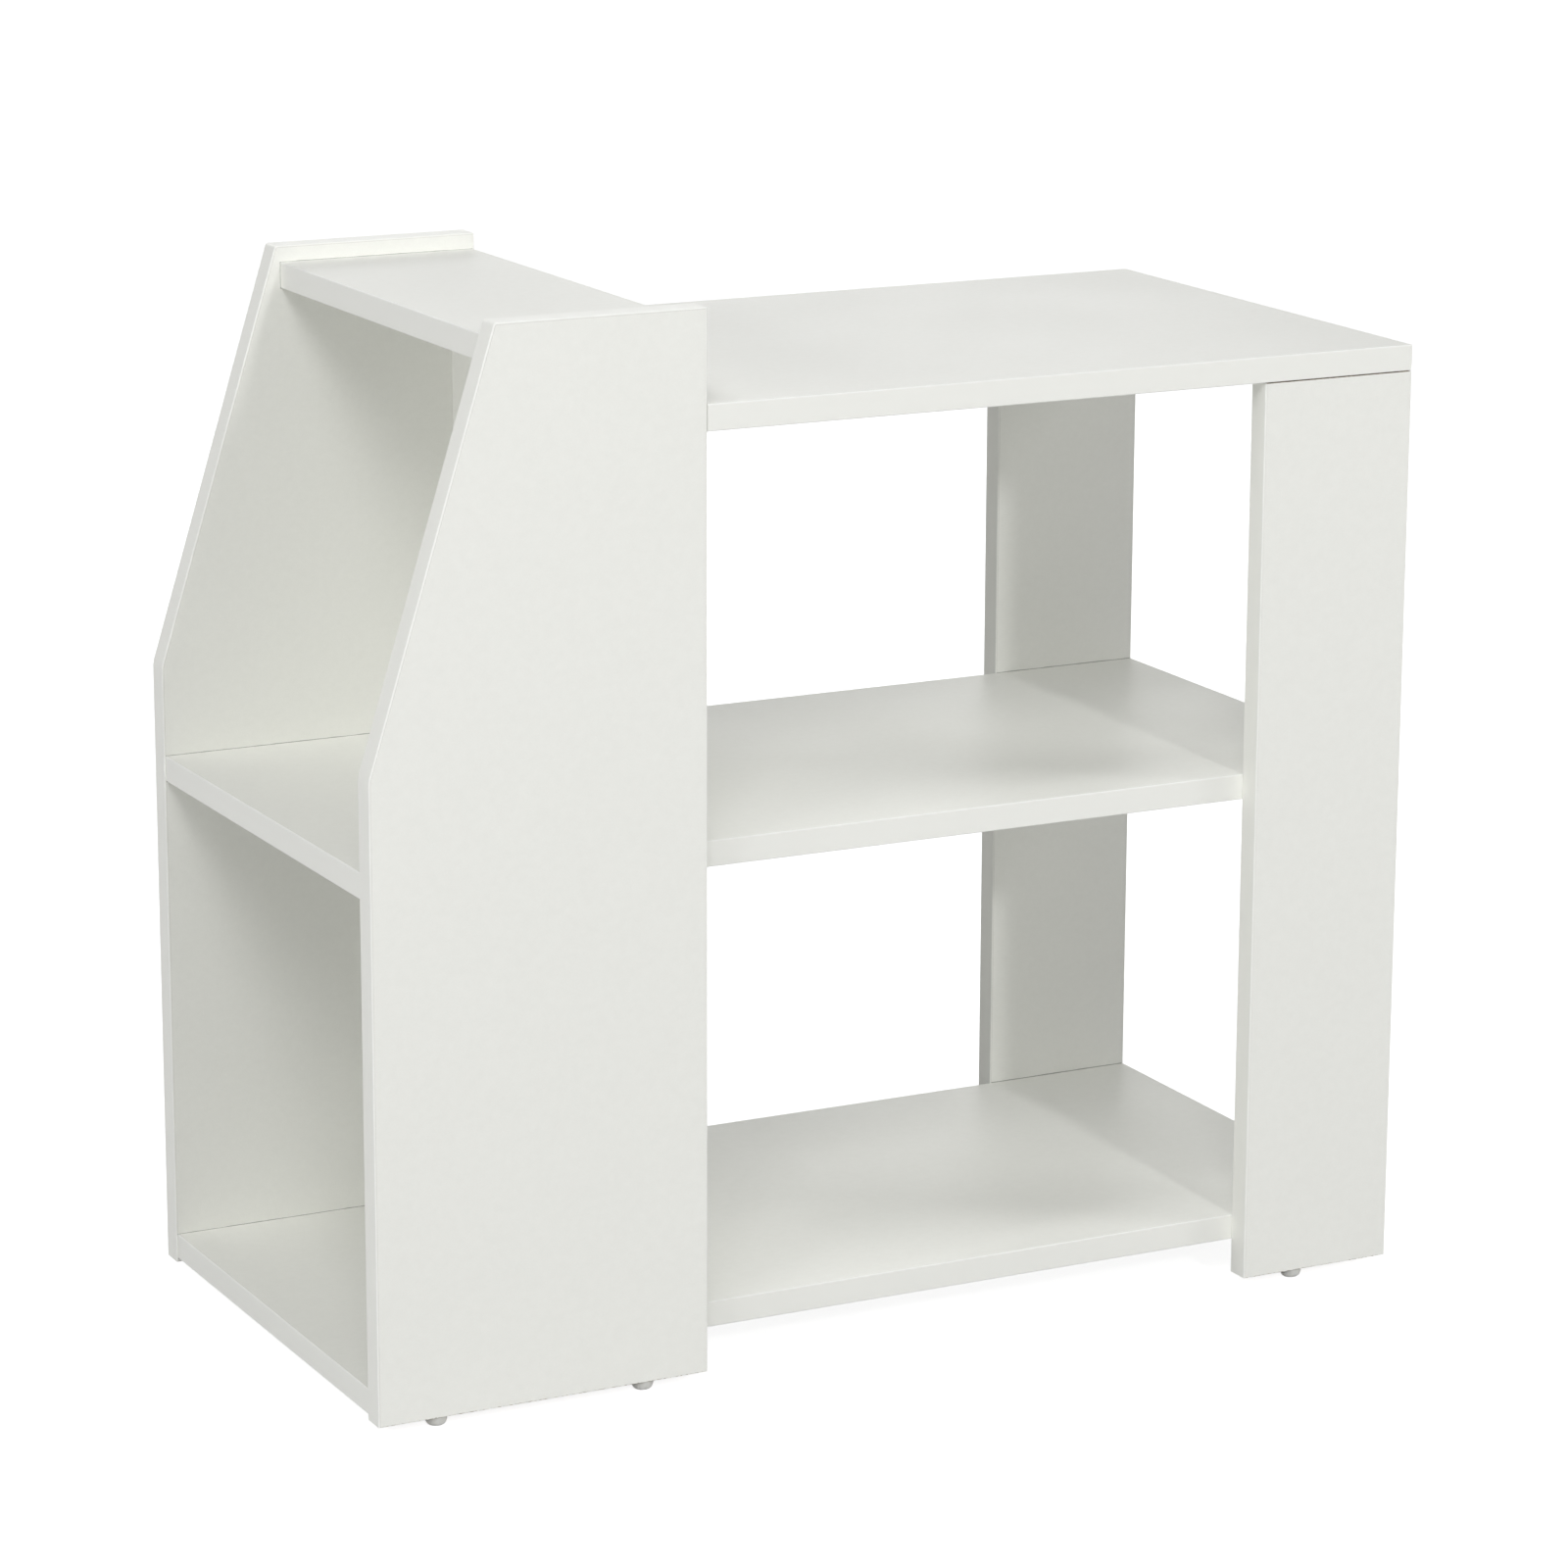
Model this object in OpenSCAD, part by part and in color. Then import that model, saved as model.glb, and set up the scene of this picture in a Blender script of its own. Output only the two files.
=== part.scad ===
// Side table with a magazine rack at one end, in white melamine-faced board.
// A rack tower with slanted sides stands on the left. A table top and two shelves run from it to a
// pair of board legs at the right end. Cam fittings and dowels hold the boards, and it stands on
// nail-in glides. Sizes are in millimetres. The origin is the middle of the footprint, on the floor:
// +X runs from the rack to the table's open end, +Y from the front to the back, and +Z is up.

/* [Overall] */
// Length over the rack and the table
total_length = 648; // [600:1:760]
// Depth over the two rack sides
total_depth = 322; // [290:1:380]
// Height of the rack sides, without the glides
side_height = 600; // [570:1:680]
// Thickness of every board
board_thickness = 15; // [15:0.5:18]

/* [Rack] */
// Length of the rack sides along X
rack_length = 199; // [190:1:240]
// Height at which the front edge of the rack sides starts to slant
slant_start = 361; // [345:1:420]
// How far the slant takes the top of that edge back
slant_setback = 75; // [40:1:85]
// How far the top shelf's upper face lies below the top of the sides
top_shelf_drop = 9.5; // [4:0.5:18]
// How far the top shelf's front edge lies behind the end of the slant
top_shelf_inset = 3; // [1:0.5:6]
// Height of the rack's middle shelf, to its upper face
rack_middle_shelf_height = 308; // [250:1:330]
// Gap under the rack's bottom shelf, up from the sides' lower edges
rack_bottom_gap = 2; // [0.5:0.5:8]
// How far the rack's lower two shelves lie behind the sides' front edges
shelf_front_inset = 1; // [0:0.5:5]

/* [Table] */
// How far the table top's upper face lies below the top of the rack sides
table_drop = 52.5; // [45:0.5:120]
// Height of the table's middle shelf, to its upper face
table_middle_shelf_height = 302; // [220:1:380]
// Height of the table's bottom shelf, to its upper face
table_bottom_shelf_height = 35; // [35:1:80]
// Width of each leg along X
leg_width = 98; // [90:1:140]
// Gap between the legs and the table top
leg_top_gap = 0.5; // [0.1:0.1:1]

/* [Edges] */
// Thickness of the edge banding
banding_thickness = 1; // [0.4:0.1:1.5]
// Radius of the front corner at the top of the rack sides
corner_radius = 2; // [1.5:0.5:5]
// Radius of the bend where the slant starts
slant_radius = 20; // [5:1:40]

/* [Glides] */
// Height of a glide
glide_height = 6; // [4:0.5:10]
// Widest diameter of a glide
glide_diameter = 13; // [10:0.5:15]
// Diameter of the flat that a glide stands on
glide_flat_diameter = 7; // [5:0.5:9]
// Distance from a glide's axis to the upright edge of its board
glide_inset = 37; // [28:1:40]

/* [Fittings] */
// Diameter of a cam lock
cam_diameter = 15; // [14:0.5:16]
// Distance from a board's end to the cam's axis
cam_distance = 34; // [28:1:34]
// Diameter of the bolt bore in a board's end
bolt_bore_diameter = 8; // [7.5:0.5:8.5]
// Diameter of a wooden dowel
dowel_diameter = 8; // [6:0.5:8]
// Length of a wooden dowel
dowel_length = 30; // [28:1:34]
// Diameter of a cap over a cam
cap_diameter = 17; // [17:0.5:20]

/* [Hidden] */

$fn = 48;
board_white = [0.92, 0.925, 0.905];
banding_white = [0.90, 0.905, 0.885];
cap_white = [0.88, 0.88, 0.86];
zinc = [0.72, 0.73, 0.74];
steel = [0.78, 0.77, 0.72];
beech = [0.82, 0.68, 0.48];

// Directions
LEFT = [-1, 0, 0];
RIGHT = [1, 0, 0];
FORWARD = [0, -1, 0];
BACKWARD = [0, 1, 0];
UP = [0, 0, 1];
DOWN = [0, 0, -1];

t = board_thickness;
over = 1;              // how far a cutting shape runs past the face it cuts
back_inner = total_depth - t;      // inner face of the back boards; the front ones' is at t
leg_left = total_length - leg_width;
leg_height = side_height - table_drop - t - leg_top_gap;

// Lower faces of the level boards, up from the sides' lower edges
rack_top_z = side_height - top_shelf_drop - t;
rack_middle_z = rack_middle_shelf_height - t;
rack_bottom_z = rack_bottom_gap;
table_top_z = side_height - table_drop - t;
table_middle_z = table_middle_shelf_height - t;
table_bottom_z = table_bottom_shelf_height - t;

// Each level or upright rectangular board is [lowest corner, highest corner]
divider_left = rack_length - t;
top_shelf_front = slant_setback + top_shelf_inset;
function level_board(left, right, z) = [[left, t, z], [right, back_inner, z + t]];
rack_top_box = level_board(top_shelf_front, rack_length, rack_top_z);
rack_middle_box = level_board(shelf_front_inset, divider_left, rack_middle_z);
rack_bottom_box = level_board(shelf_front_inset, divider_left, rack_bottom_z);
table_middle_box = level_board(rack_length, total_length, table_middle_z);
table_bottom_box = level_board(rack_length, total_length, table_bottom_z);
table_top_box = [[rack_length, 0, table_top_z], [total_length, total_depth, table_top_z + t]];
divider_box = [[divider_left, t, rack_bottom_gap], [rack_length, back_inner, rack_top_z]];
front_leg_box = [[leg_left, 0, 0], [total_length, t, leg_height]];
back_leg_box = [[leg_left, back_inner, 0], [total_length, total_depth, leg_height]];

// Outline of a rack side, in X and Z, clockwise from the lower front corner
side_outline = [
    [0, 0], [0, slant_start], [slant_setback, side_height], [rack_length, side_height], [rack_length, 0]
];
side_radii = [0, slant_radius, corner_radius, corner_radius / 2, 0];

// Where the fittings go, in from the ends of a shelf's end, a leg's end or the divider's edges
shelf_fitting_inset = 50;
top_shelf_fitting_inset = 30;
leg_fitting_inset = 25;
table_fitting_inset = 37;
table_dowel_inset = 85;
divider_dowel_inset = 75;

// Fitting sizes
cam_depth = 12.5;                          // depth of a cam's bore
cam_height = 12;
cam_play = 0.1;                            // gap round a fitting in its bore
thread_radius = 3.1;
thread_length = 10.5;
thread_core_radius = 2.4;
thread_turns = 7;
thread_bore_length = 11;
shank_radius = 3;
collar_radius = bolt_bore_diameter / 2 - cam_play;
collar_length = 1.2;
neck_radius = 2;
head_radius = 3.3;
head_length = 3.4;
hook_reach = 4.5;                          // cam's axis to the face that grips the bolt's head
slot_width = 2 * (neck_radius + 0.2);
recess_length = 8;                         // cross recess in a cam's face
recess_width = 1.4;
recess_depth = 2.5;
dowel_in_panel = 11;                       // how much of a dowel is in the board it stands out of
dowel_end_gap = 1;
dowel_chamfer = 1;
cap_height = 1;
cap_rim = 0.4;
cap_bevel = 1;
cap_pin_radius = 1.6;
cap_pin_length = 1.8;
nail_radius = 1;
nail_length = 16;                          // in the board
nail_root = 3;                             // in the glide
nail_point = 3;
glide_wall = 1.5;                          // straight wall at the top of a glide

// A point on the faces where two boards meet, the way from there into the board that holds the cam,
// and the way that the cam faces, make one cam joint. A dowel joint has the first two.
function inner_face(side) = side == FORWARD ? t : back_inner;
function shelf_cams(side, xs, z) = [for (x = xs) [[x, inner_face(side), z + t / 2], -side, DOWN]];
function near_ends(low, high, inset) = [low + inset, high - inset];
function middle(low, high) = (low + high) / 2;
function is_among(item, list) = len([for (one = list) if (one == item) one]) > 0;

rack_xs = near_ends(rack_middle_box[0].x, rack_middle_box[1].x, shelf_fitting_inset);
rack_top_xs = near_ends(rack_top_box[0].x, rack_top_box[1].x, top_shelf_fitting_inset);
leg_xs = near_ends(leg_left, total_length, leg_fitting_inset);
table_ys = near_ends(t, back_inner, table_fitting_inset);
divider_x = divider_left + t / 2;
divider_zs = [
    middle(table_bottom_z, table_middle_z) + t / 2, middle(table_middle_z, table_top_z) + t / 2
];

rack_cams = [for (side = [FORWARD, BACKWARD]) each concat(
    shelf_cams(side, rack_top_xs, rack_top_z),
    shelf_cams(side, rack_xs, rack_middle_z),
    shelf_cams(side, rack_xs, rack_bottom_z),
    [for (z = divider_zs) [[divider_x, inner_face(side), z], -side, LEFT]]
)];
table_cams = concat(
    [for (z = [table_top_z, table_middle_z, table_bottom_z], y = table_ys)
        [[rack_length, y, z + t / 2], RIGHT, DOWN]],
    [for (side = [FORWARD, BACKWARD], z = [table_middle_z, table_bottom_z])
        each shelf_cams(side, leg_xs, z)],
    [for (side = [FORWARD, BACKWARD], x = leg_xs)
        [[x, inner_face(side) + side.y * t / 2, table_top_z], DOWN, -side]]
);
rack_dowel_joints = concat(
    [for (side = [FORWARD, BACKWARD]) each [
        [[middle(rack_top_xs[0], rack_top_xs[1]), inner_face(side), rack_top_z + t / 2], -side],
        [[middle(rack_xs[0], rack_xs[1]), inner_face(side), rack_middle_z + t / 2], -side],
        [[middle(rack_xs[0], rack_xs[1]), inner_face(side), rack_bottom_z + t / 2], -side],
        [[divider_x, inner_face(side), middle(divider_zs[0], divider_zs[1])], -side]
    ]],
    [for (y = near_ends(t, back_inner, divider_dowel_inset)) [[divider_x, y, rack_top_z], DOWN]]
);
table_dowel_joints = concat(
    [for (y = near_ends(t, back_inner, table_dowel_inset))
        [[rack_length, y, table_top_z + t / 2], RIGHT]],
    [for (z = [table_middle_z, table_bottom_z])
        [[rack_length, total_depth / 2, z + t / 2], RIGHT]],
    [for (side = [FORWARD, BACKWARD], z = [table_middle_z, table_bottom_z])
        [[middle(leg_xs[0], leg_xs[1]), inner_face(side), z + t / 2], -side]],
    [for (side = [FORWARD, BACKWARD])
        [[middle(leg_xs[0], leg_xs[1]), inner_face(side) + side.y * t / 2, table_top_z], DOWN]]
);

// Glides, each on the axis [x, y] under the edge of an upright board
rack_glide_xs = near_ends(0, rack_length, glide_inset);
glide_ys = [t / 2, total_depth - t / 2];
leg_glide_x = leg_left + glide_inset;
glide_axes = [for (x = concat(rack_glide_xs, [leg_glide_x]), y = glide_ys) [x, y]];

// Inset of a clockwise outline: each edge moves in by its own distance
function inward(p, q) = [q.y - p.y, p.x - q.x] / norm(q - p);
function inset(points, distances) = let (n = len(points)) [
    for (i = [0 : n - 1])
        let (
            before = (i + n - 1) % n,
            a = inward(points[before], points[i]),
            b = inward(points[i], points[(i + 1) % n]),
            da = distances[before],
            db = distances[i]
        )
        points[i] + [da * b.y - db * a.y, db * a.x - da * b.x] / (a.x * b.y - a.y * b.x)
];

// The same outline with its corners rounded, in a few short steps each
corner_steps = 6;
function rounded(points, radii) = let (n = len(points)) [
    for (i = [0 : n - 1])
        let (
            u = (points[(i + n - 1) % n] - points[i]) / norm(points[(i + n - 1) % n] - points[i]),
            v = (points[(i + 1) % n] - points[i]) / norm(points[(i + 1) % n] - points[i]),
            half = acos(u * v) / 2,
            centre = points[i] + (u + v) / norm(u + v) * radii[i] / sin(half),
            from = points[i] + u * radii[i] / tan(half) - centre,
            turn = 180 - 2 * half
        )
        if (radii[i] == 0) points[i]
        else each [
            for (k = [0 : corner_steps])
                let (a = -turn * k / corner_steps)
                centre + [from.x * cos(a) - from.y * sin(a), from.x * sin(a) + from.y * cos(a)]
        ]
];

// Moves a shape from the boards' own corner to the origin's place on the floor
module placed() translate([-total_length / 2, -total_depth / 2, glide_height]) children();

// Turns a shape so that its +Z runs into the board that holds the cam, and its +X the way the cam faces
module at_joint(joint) {
    z = joint[1];
    x = len(joint) > 2 ? joint[2] : (z.z == 0 ? UP : RIGHT);
    y = cross(z, x);
    multmatrix([
        [x.x, y.x, z.x, joint[0].x],
        [x.y, y.y, z.y, joint[0].y],
        [x.z, y.z, z.z, joint[0].z],
        [0, 0, 0, 1]
    ]) children();
}

module block(low, high) translate(low) cube(high - low);

// Bores of the fittings, cut from both boards of each joint
module cam_bores(joints) {
    for (joint = joints) at_joint(joint) {
        translate([0, 0, -thread_bore_length])
            cylinder(r = thread_radius + cam_play / 2, h = thread_bore_length + over);
        cylinder(d = bolt_bore_diameter, h = cam_distance);
        translate([t / 2 - cam_depth, 0, cam_distance])
            rotate([0, 90, 0]) cylinder(d = cam_diameter, h = cam_depth + over);
    }
}

module dowel_bores(joints) {
    for (joint = joints) at_joint(joint)
        translate([0, 0, -dowel_in_panel - dowel_end_gap])
            cylinder(d = dowel_diameter + cam_play, h = dowel_length + 2 * dowel_end_gap);
}

module nail_bores() {
    for (axis = glide_axes) translate([axis.x, axis.y, -over])
        cylinder(r = nail_radius + cam_play / 2, h = nail_length + over, $fn = 24);
}

module rack_bores() {
    cam_bores(rack_cams);
    dowel_bores(rack_dowel_joints);
}

module table_bores() {
    cam_bores(table_cams);
    dowel_bores(table_dowel_joints);
}

// A board without its banding. banded holds 1 for each edge that is banded: [left, right, front, back]
function core_low(box, banded) = box[0] + banding_thickness * [banded[0], banded[2], 0];
function core_high(box, banded) = box[1] - banding_thickness * [banded[1], banded[3], 0];
module board(box, banded) color(board_white) placed() difference() {
    block(core_low(box, banded), core_high(box, banded));
    children();
}

// The banding of a board: what is left of its box round the board, where an edge is banded
function past(banded) = over * [1 - banded[0], 1 - banded[2], 1];
function past_high(banded) = over * [1 - banded[1], 1 - banded[3], 1];
module banding(box, banded) color(banding_white) placed() difference() {
    block(box[0], box[1]);
    block(core_low(box, banded) - past(banded), core_high(box, banded) + past_high(banded));
}

no_edges = [0, 0, 0, 0];
left_edge = [1, 0, 0, 0];
end_edges = [1, 1, 0, 0];
table_edges = [0, 1, 1, 1];

// Rack sides: the slanted outline, less the banding on all edges but the lower one
module side_slab(distances, radii, low, high)
    translate([0, high, 0]) rotate([90, 0, 0]) linear_extrude(height = high - low)
        polygon(rounded(inset(side_outline, distances), radii));

function banded_radii() = [for (r = side_radii) max(0, r - banding_thickness)];
banded_sides = [for (i = [0 : 3]) banding_thickness];

module rack_side(low) color(board_white) placed() difference() {
    side_slab(concat(banded_sides, [0]), banded_radii(), low, low + t);
    rack_bores();
    nail_bores();
}

module rack_side_banding(low) color(banding_white) placed() difference() {
    side_slab([0, 0, 0, 0, 0], side_radii, low, low + t);
    side_slab(concat(banded_sides, [-over]), banded_radii(), low - over, low + t + over);
}

module rack_front_side() rack_side(0);
module rack_back_side() rack_side(back_inner);
module rack_top_shelf() board(rack_top_box, end_edges) rack_bores();
module rack_middle_shelf() board(rack_middle_box, left_edge) rack_bores();
module rack_bottom_shelf() board(rack_bottom_box, left_edge) rack_bores();
module divider() board(divider_box, no_edges) { rack_bores(); table_bores(); }
module table_top() board(table_top_box, table_edges) table_bores();
module table_middle_shelf() board(table_middle_box, table_edges) table_bores();
module table_bottom_shelf() board(table_bottom_box, table_edges) table_bores();
module front_leg() board(front_leg_box, end_edges) { table_bores(); nail_bores(); }
module back_leg() board(back_leg_box, end_edges) { table_bores(); nail_bores(); }

// Cam lock: a drum in the board's face, with a hollow and a slot that hook over the bolt's head
module cam_lock() {
    reach = cam_diameter / 2 - cam_play;
    hollow = head_radius + 0.3;
    difference() {
        translate([0, 0, -cam_height]) cylinder(r = reach, h = cam_height - 0.2);
        translate([hook_reach - head_length - 1, 0, -t / 2])
            rotate([0, 90, 0]) cylinder(r = hollow, h = head_length + 1);
        translate([0, -slot_width / 2, -t / 2 - hollow]) cube([cam_diameter, slot_width, 2 * hollow]);
        for (turn = [0, 90]) rotate([0, 0, turn + 45])
            translate([-recess_length / 2, -recess_width / 2, -recess_depth])
                cube([recess_length, recess_width, recess_depth + over]);
        translate([0, 0, -recess_depth])
            cylinder(r = cap_pin_radius + cam_play, h = recess_depth + over);
    }
}

module cam_locks(joints) color(zinc) placed()
    for (joint = joints) at_joint(joint)
        translate([t / 2, 0, cam_distance]) rotate([0, 90, 0]) cam_lock();

// Cam bolt: a wood thread in the one board, and a shank, a neck and a head in the other
thread_pitch = thread_length / thread_turns;
cam_reach = cam_distance - cam_diameter / 2;
head_start = cam_distance - hook_reach;
head_end = head_start + head_length;
bolt_profile = concat(
    [[0, -thread_length]],
    [for (i = [0 : thread_turns - 1]) each [
        [thread_core_radius, -thread_length + i * thread_pitch],
        [thread_radius, -thread_length + (i + 0.5) * thread_pitch]
    ]],
    [
        [thread_core_radius, 0], [collar_radius, 0], [collar_radius, collar_length],
        [shank_radius, collar_length], [shank_radius, cam_reach - 1], [neck_radius, cam_reach],
        [neck_radius, head_start], [head_radius, head_start], [head_radius, head_end - 1],
        [head_radius - 1, head_end], [0, head_end]
    ]
);

module cam_bolts(joints) color(steel) placed()
    for (joint = joints) at_joint(joint) rotate_extrude($fn = 32) polygon(bolt_profile);

// Dowel: a pin with chamfered ends
dowel_profile = let (r = dowel_diameter / 2, c = dowel_chamfer) [
    [0, 0], [r - c, 0], [r, c], [r, dowel_length - c], [r - c, dowel_length], [0, dowel_length]
];

module dowels(joints) color(beech) placed()
    for (joint = joints) at_joint(joint) translate([0, 0, -dowel_in_panel])
        rotate_extrude($fn = 32) polygon(dowel_profile);

// Cap: a low disc with a pin that snaps into the cam's recess
cap_profile = let (r = cap_diameter / 2) [
    [0, -cap_pin_length], [cap_pin_radius, -cap_pin_length], [cap_pin_radius, 0],
    [r, 0], [r, cap_rim], [r - cap_bevel, cap_height], [0, cap_height]
];

module cam_caps(faces) color(cap_white) placed()
    for (joint = concat(rack_cams, table_cams)) if (is_among(joint[2], faces))
        at_joint(joint) translate([t / 2, 0, cam_distance]) rotate([0, 90, 0])
            rotate_extrude() polygon(cap_profile);

// Glide: a round foot whose wall curves in to a flat, on a nail that its plastic holds
glide_steps = 6;
glide_profile = let (
    r = glide_diameter / 2,
    flat = glide_flat_diameter / 2,
    curve = glide_height - glide_wall
) concat(
    [[0, -glide_height]],
    [for (k = [0 : glide_steps]) let (a = 90 * k / glide_steps)
        [flat + (r - flat) * sin(a), -glide_wall - curve * cos(a)]],
    [[r, 0], [nail_radius, 0], [nail_radius, -nail_root], [0, -nail_root]]
);

module glide(axis) color(cap_white) placed() translate([axis.x, axis.y, 0])
    rotate_extrude() polygon(glide_profile);

nail_profile = [
    [0, -nail_root], [nail_radius, -nail_root],
    [nail_radius, nail_length - nail_point], [0, nail_length]
];

module glide_nails() color(steel) placed()
    for (axis = glide_axes) translate([axis.x, axis.y, 0])
        rotate_extrude($fn = 24) polygon(nail_profile);

rack_front_side();
rack_back_side();
rack_top_shelf();
rack_middle_shelf();
rack_bottom_shelf();
divider();
table_top();
table_middle_shelf();
table_bottom_shelf();
front_leg();
back_leg();
rack_side_banding(0);  // rack_front_side_banding
rack_side_banding(back_inner);  // rack_back_side_banding
banding(rack_top_box, end_edges);  // rack_top_shelf_banding
banding(rack_middle_box, left_edge);  // rack_middle_shelf_banding
banding(rack_bottom_box, left_edge);  // rack_bottom_shelf_banding
banding(table_top_box, table_edges);  // table_top_banding
banding(table_middle_box, table_edges);  // table_middle_shelf_banding
banding(table_bottom_box, table_edges);  // table_bottom_shelf_banding
banding(front_leg_box, end_edges);  // front_leg_banding
banding(back_leg_box, end_edges);  // back_leg_banding
cam_locks(rack_cams);  // rack_cam_locks
cam_locks(table_cams);  // table_cam_locks
cam_bolts(rack_cams);  // rack_cam_bolts
cam_bolts(table_cams);  // table_cam_bolts
dowels(rack_dowel_joints);  // rack_dowels
dowels(table_dowel_joints);  // table_dowels
cam_caps([LEFT]);  // divider_cam_caps
cam_caps([FORWARD, BACKWARD]);  // leg_cam_caps
glide([rack_glide_xs[0], glide_ys[0]]);  // glide_rack_front_left
glide([rack_glide_xs[1], glide_ys[0]]);  // glide_rack_front_right
glide([rack_glide_xs[0], glide_ys[1]]);  // glide_rack_back_left
glide([rack_glide_xs[1], glide_ys[1]]);  // glide_rack_back_right
glide([leg_glide_x, glide_ys[0]]);  // glide_front_leg
glide([leg_glide_x, glide_ys[1]]);  // glide_back_leg
glide_nails();
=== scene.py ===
"""Side table with a magazine rack at one end: the finish of every board, strip and fitting, and the studio.

Lengths are in metres. +X runs from the rack to the table's open end, +Y from front to back, +Z up.
"""
from math import acos, cos, pi, radians, sin

import bmesh
import bpy
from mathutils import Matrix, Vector


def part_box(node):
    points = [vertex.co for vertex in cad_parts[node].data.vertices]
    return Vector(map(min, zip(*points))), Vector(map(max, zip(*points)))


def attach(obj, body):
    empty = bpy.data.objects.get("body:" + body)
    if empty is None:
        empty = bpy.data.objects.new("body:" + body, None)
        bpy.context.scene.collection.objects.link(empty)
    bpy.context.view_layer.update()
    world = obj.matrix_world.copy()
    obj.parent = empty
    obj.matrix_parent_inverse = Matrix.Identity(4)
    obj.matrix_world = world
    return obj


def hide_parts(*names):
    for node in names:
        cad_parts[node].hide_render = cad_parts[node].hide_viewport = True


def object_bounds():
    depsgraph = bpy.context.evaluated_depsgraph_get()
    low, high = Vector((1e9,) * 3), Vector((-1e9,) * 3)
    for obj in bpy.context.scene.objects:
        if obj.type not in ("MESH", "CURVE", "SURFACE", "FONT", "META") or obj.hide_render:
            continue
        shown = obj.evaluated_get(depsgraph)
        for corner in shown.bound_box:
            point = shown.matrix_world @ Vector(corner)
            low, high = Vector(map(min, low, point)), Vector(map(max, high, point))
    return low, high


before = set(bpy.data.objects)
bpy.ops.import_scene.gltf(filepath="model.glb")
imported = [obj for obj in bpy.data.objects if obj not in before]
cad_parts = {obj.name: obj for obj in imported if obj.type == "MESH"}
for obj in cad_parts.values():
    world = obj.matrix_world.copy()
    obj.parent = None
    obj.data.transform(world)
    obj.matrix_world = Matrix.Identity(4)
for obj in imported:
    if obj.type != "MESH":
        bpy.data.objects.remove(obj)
cad_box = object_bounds()

MM = 0.001
ROOT = "root"
LEFT, RIGHT, FORWARD, BACKWARD, UP = (
    Vector(v) for v in ((-1, 0, 0), (1, 0, 0), (0, -1, 0), (0, 1, 0), (0, 0, 1))
)

# Corners closer than this are one corner, and edges shorter than this are none
SAME_POINT = 0.002 * MM
NO_LENGTH = 0.001 * MM

# The slanted edge of the rack sides, which the boxes of the boards don't give
SLANT_START = 367 * MM
SLANT_SETBACK = 75 * MM

# Edge banding: its thickness, its rounded edges, the seam to its board, and the turns it takes
BAND = 1.0 * MM
BAND_ROUND = 0.7 * MM
BAND_SEAM = 0.07 * MM
ROUND_STEPS = 6
CORNER_STEPS = 6
SLANT_RADIUS = 20.0 * MM
SIDE_CORNER = 2.0 * MM
TABLE_CORNER = 0.8 * MM

# Boards: thickness, the white film on each face, and the arris of a sawn edge
BOARD = 15.0 * MM
FILM = 0.2 * MM
SAWN_ARRIS = 0.12 * MM

# The foot of an upright board, where a ragged dark brown line runs along it, and the open joint at the rack
# end of the table boards' strips
FOOT = 6.0 * MM
FOOT_RAGGED = 0.45 * MM
JOINT = 0.2 * MM

# The painted shade line on a board round the end of another board that butts against it
BUTT_LINE = 0.3 * MM


# ---------------------------------------------------------------- shader groups and materials

class Graph:
    """The nodes and links of one material or node group."""

    def __init__(self, tree):
        self.tree = tree

    def node(self, kind, values=None, **settings):
        made = self.tree.nodes.new(kind)
        for name, value in settings.items():
            setattr(made, name, value)
        for name, value in (values or {}).items():
            self.feed(made.inputs[name], value)
        return made

    def feed(self, socket, value):
        if isinstance(value, bpy.types.NodeSocket):
            self.tree.links.new(value, socket)
        else:
            socket.default_value = value

    def math(self, operation, *values):
        made = self.node("ShaderNodeMath", operation=operation)
        for socket, value in zip(made.inputs, values):
            self.feed(socket, value)
        return made.outputs[0]

    def vectors(self, operation, one, other):
        made = self.node("ShaderNodeVectorMath", operation=operation)
        self.feed(made.inputs[0], one)
        self.feed(made.inputs[1], other)
        return made.outputs

    def span(self, value, low, high, to_low=0.0, to_high=1.0):
        """value, from low..high to to_low..to_high, and held at the ends."""
        made = self.node("ShaderNodeMapRange", {
            "Value": value, "From Min": low, "From Max": high, "To Min": to_low, "To Max": to_high,
        })
        return made.outputs[0]

    def along(self, vector, axis):
        return self.node("ShaderNodeSeparateXYZ", {"Vector": vector}).outputs[axis]

    def choose(self, mask, inside, outside):
        """The value inside where mask is 1, and outside where it is 0."""
        kept = self.math("MULTIPLY", inside, mask)
        return self.math("ADD", kept, self.math("MULTIPLY", self.math("SUBTRACT", 1.0, mask), outside))

    def mix(self, share, one, other):
        """The colour one where share is 0, and other where it is 1."""
        made = self.node("ShaderNodeMix", data_type="RGBA")
        for socket, value in zip((made.inputs[0], made.inputs[6], made.inputs[7]), (share, one, other)):
            self.feed(socket, value)
        return made.outputs[2]

    def noise(self, where, scale, detail=2.0, roughness=0.5):
        made = self.node("ShaderNodeTexNoise", {
            "Vector": where, "Scale": scale, "Detail": detail, "Roughness": roughness,
        })
        return made.outputs[0]

    def place(self):
        return self.node("ShaderNodeTexCoord").outputs["Object"]


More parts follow.
